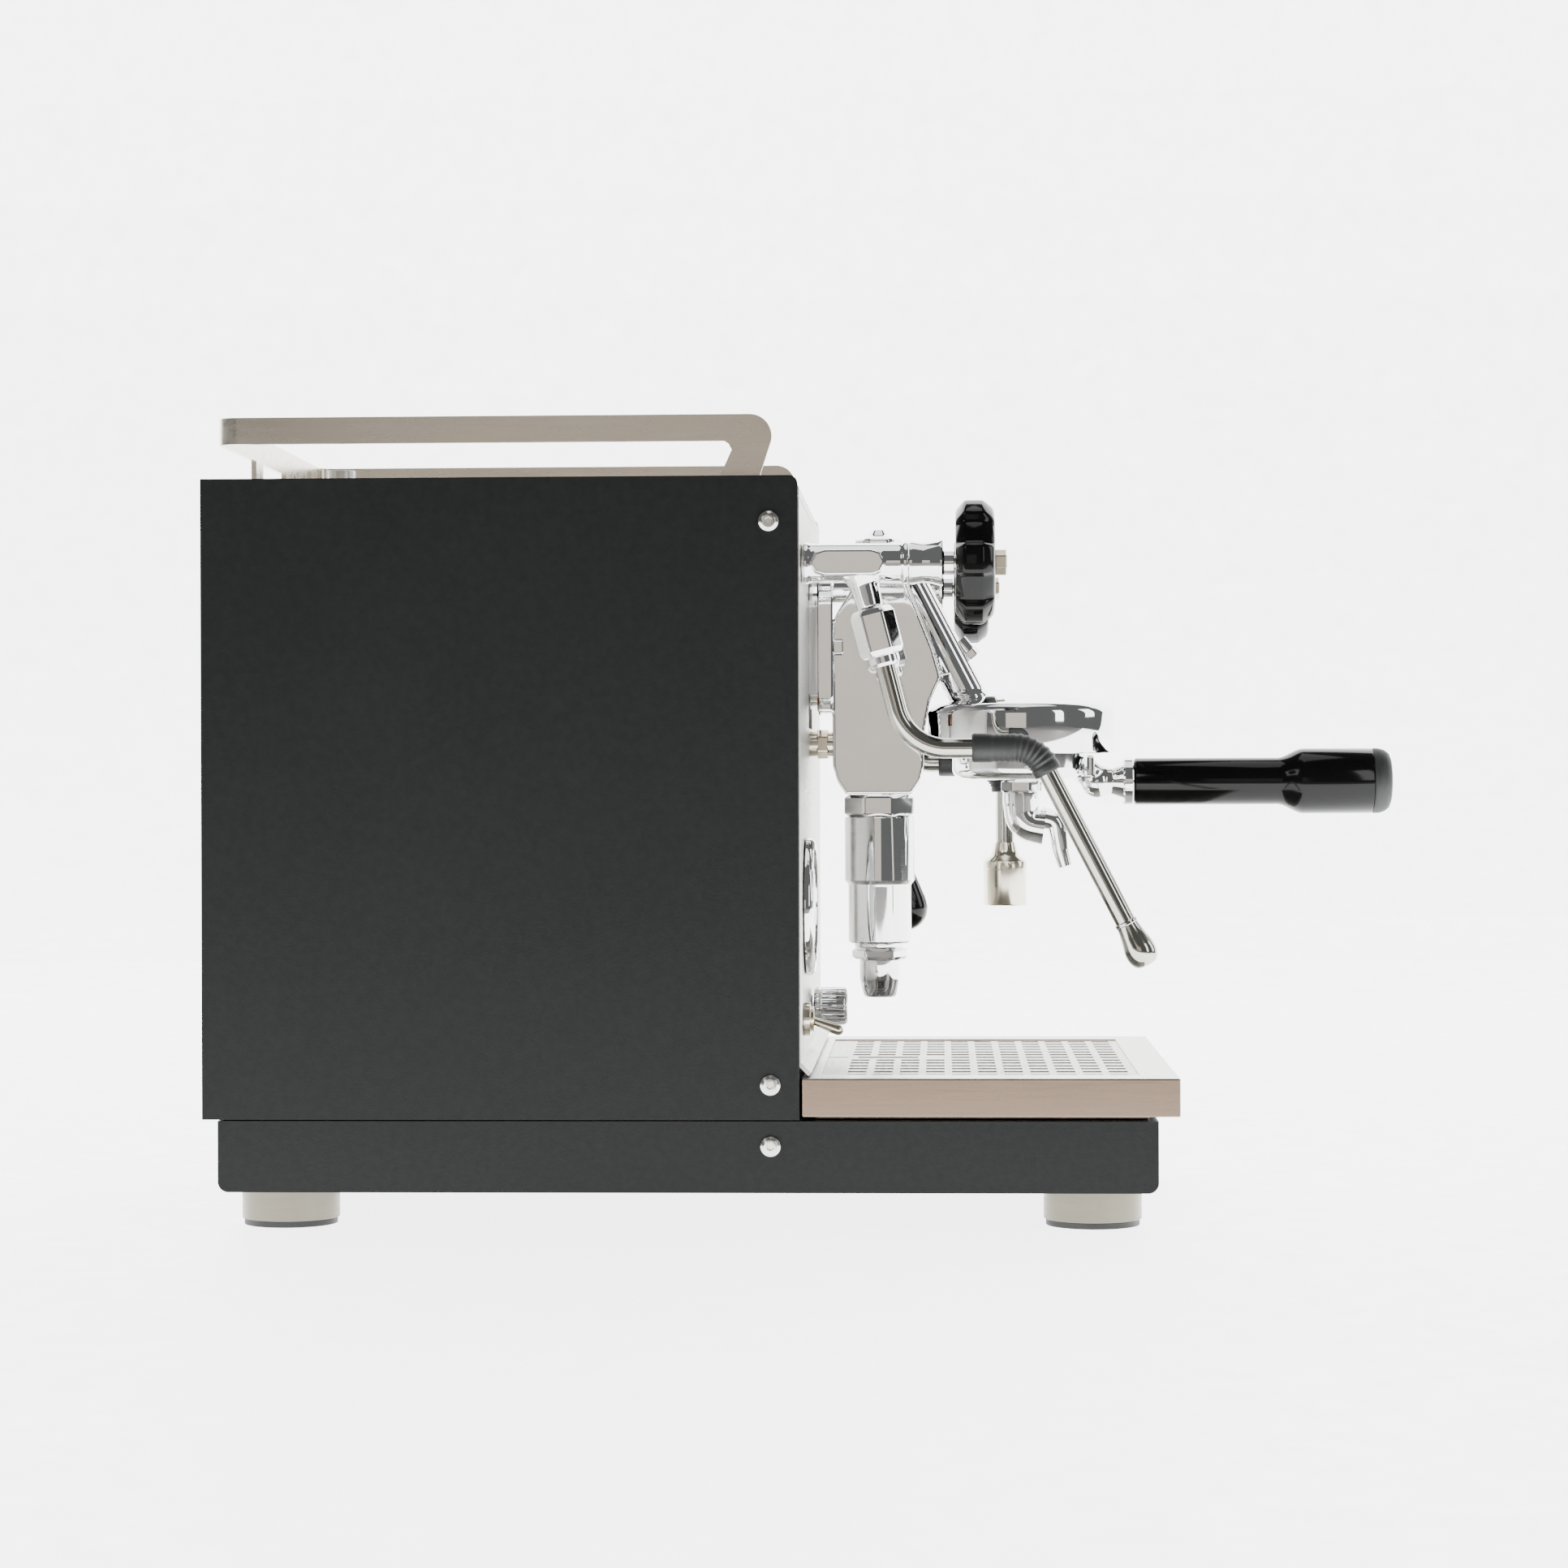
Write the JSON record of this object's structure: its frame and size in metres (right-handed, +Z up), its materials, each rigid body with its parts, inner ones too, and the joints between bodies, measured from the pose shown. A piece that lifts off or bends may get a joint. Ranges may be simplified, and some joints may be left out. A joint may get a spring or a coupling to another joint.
{
  "type": "espresso machine",
  "caption": "Boxy espresso machine with a levered chrome brew group, handled portafilter, steam and hot-water wands, cup rail and drip tray.",
  "frame": {"origin": "centre of the machine's footprint box on the table, with the portafilter locked in", "axes": "-Y is the front, where the portafilter handle points; +X is the user's right; +Z is up"},
  "size_m": [0.285, 0.5688, 0.3792],
  "materials": {
    "black_plastic": "moulded",
    "black_powder_coat": "fine matte powder coat",
    "brass": "machined",
    "bronze_metal": "satin, warm grey",
    "chrome": "mirror",
    "clear_glass": "polished",
    "clear_plastic": "clear moulded plastic",
    "copper": "dull copper",
    "dial_white": "satin",
    "gloss_black": "polished moulding",
    "needle_red": "satin",
    "nickel": "warm satin nickel",
    "polished_steel": "polished",
    "pump_red": "moulded",
    "rail_steel": "satin, cut flat bar",
    "rubber": "matte",
    "screw_steel": "turned",
    "stainless": "fine brushed",
    "zinc_steel": "zinc-plated"
  },
  "bodies": {
    "machine": {"base_frame": "black_powder_coat", "side_panel_left": "black_powder_coat", "side_panel_right": "black_powder_coat", "rear_panel": "black_powder_coat", "base_cover": "black_powder_coat", "feet": "bronze_metal", "foot_soles": "rubber", "pump_mounts": "rubber", "group_gasket": "rubber", "panel_screws": "screw_steel", "front_panel": "stainless", "top_deck": "stainless", "boiler_element": "stainless", "shower_screen": "stainless", "cup_rail": "rail_steel", "power_inlet": "black_plastic", "control_box": "black_plastic", "boiler": "copper", "thermosyphon_pipes": "copper", "valve_pipes": "copper", "boiler_cradle": "zinc_steel", "boiler_valves": "brass", "fill_valve": "brass", "pump": "pump_red", "gauge_case": "chrome", "steam_valve": "chrome", "water_valve": "chrome", "steam_wand_nut": "chrome", "water_wand_nut": "chrome", "group_body": "chrome", "group_cap": "chrome", "group_chamber": "chrome", "selector_base": "chrome", "gauge_dial": "dial_white", "gauge_glass": "clear_glass", "switch_base": "nickel"},
    "tank": {"water_tank": "clear_plastic"},
    "tank_cover": {"tank_lid": "stainless"},
    "needle": {"gauge_needle": "needle_red"},
    "toggle": {"switch_lever": "nickel"},
    "selector": {"selector_knob": "chrome"},
    "steam_handwheel": {"steam_stem": "nickel", "steam_knob": "gloss_black"},
    "water_handwheel": {"water_stem": "nickel", "water_knob": "gloss_black"},
    "steam_arm": {"steam_wand": "polished_steel", "steam_tip": "polished_steel", "steam_wand_grip": "rubber"},
    "water_arm": {"water_wand": "polished_steel", "water_tip": "polished_steel", "water_wand_grip": "rubber"},
    "lever": {"brew_lever": "chrome", "lever_knob": "gloss_black"},
    "filter_holder": {"portafilter": "chrome", "spout": "chrome", "filter_basket": "stainless", "portafilter_handle": "gloss_black"},
    "tray": {"drip_tray": "polished_steel"},
    "grate": {"drip_grate": "stainless"}
  },
  "joints": [
    {"name": "portafilter_turn", "type": "hinge", "parent": "machine", "child": "filter_holder", "pos_m": [0, -0.1006, 0.215], "axis": [0, 0, 1], "range_deg": [-45, 0]},
    {"name": "brew_lever_lift", "type": "hinge", "parent": "machine", "child": "lever", "pos_m": [0, -0.0296, 0.2239], "axis": [-1, 0, 0], "range_deg": [0, 75]},
    {"name": "steam_wand_swing", "type": "hinge", "parent": "machine", "child": "steam_arm", "pos_m": [-0.112, -0.0276, 0.2895], "axis": [0, -0.2487, -0.9686], "range_deg": [-45, 45]},
    {"name": "water_wand_swing", "type": "hinge", "parent": "machine", "child": "water_arm", "pos_m": [0.112, -0.0276, 0.2895], "axis": [0, -0.2487, -0.9686], "range_deg": [-45, 45]},
    {"name": "steam_knob_turn", "type": "hinge", "parent": "machine", "child": "steam_handwheel", "pos_m": [-0.112, -0.0676, 0.311], "axis": [0, -1, 0], "range_deg": [-540, 0]},
    {"name": "water_knob_turn", "type": "hinge", "parent": "machine", "child": "water_handwheel", "pos_m": [0.112, -0.0676, 0.311], "axis": [0, -1, 0], "range_deg": [-540, 0]},
    {"name": "switch_throw", "type": "hinge", "parent": "machine", "child": "toggle", "pos_m": [-0.1, 0.0027, 0.0958], "axis": [1, 0, 0], "range_deg": [-40, 0]},
    {"name": "selector_turn", "type": "hinge", "parent": "machine", "child": "selector", "pos_m": [0, -0.006, 0.0958], "axis": [0, -1, 0], "range_deg": [-90, 0]},
    {"name": "gauge_needle_sweep", "type": "hinge", "parent": "machine", "child": "needle", "pos_m": [-0.075, 0.0044, 0.1483], "axis": [0, 1, 0], "range_deg": [0, 270]},
    {"name": "drip_tray_slide", "type": "slide", "parent": "machine", "child": "tray", "axis": [0, -1, 0], "range_m": [0, 0.18]},
    {"name": "drip_grate_lift", "type": "slide", "parent": "tray", "child": "grate", "axis": [0, 0, 1], "range_m": [0, 0.015]},
    {"name": "water_tank_lift", "type": "slide", "parent": "machine", "child": "tank", "axis": [0, 0, 1], "range_m": [0, 0.25]},
    {"name": "tank_lid_lift", "type": "slide", "parent": "tank", "child": "tank_cover", "axis": [0, 0, 1], "range_m": [0, 0.06]}
  ]
}
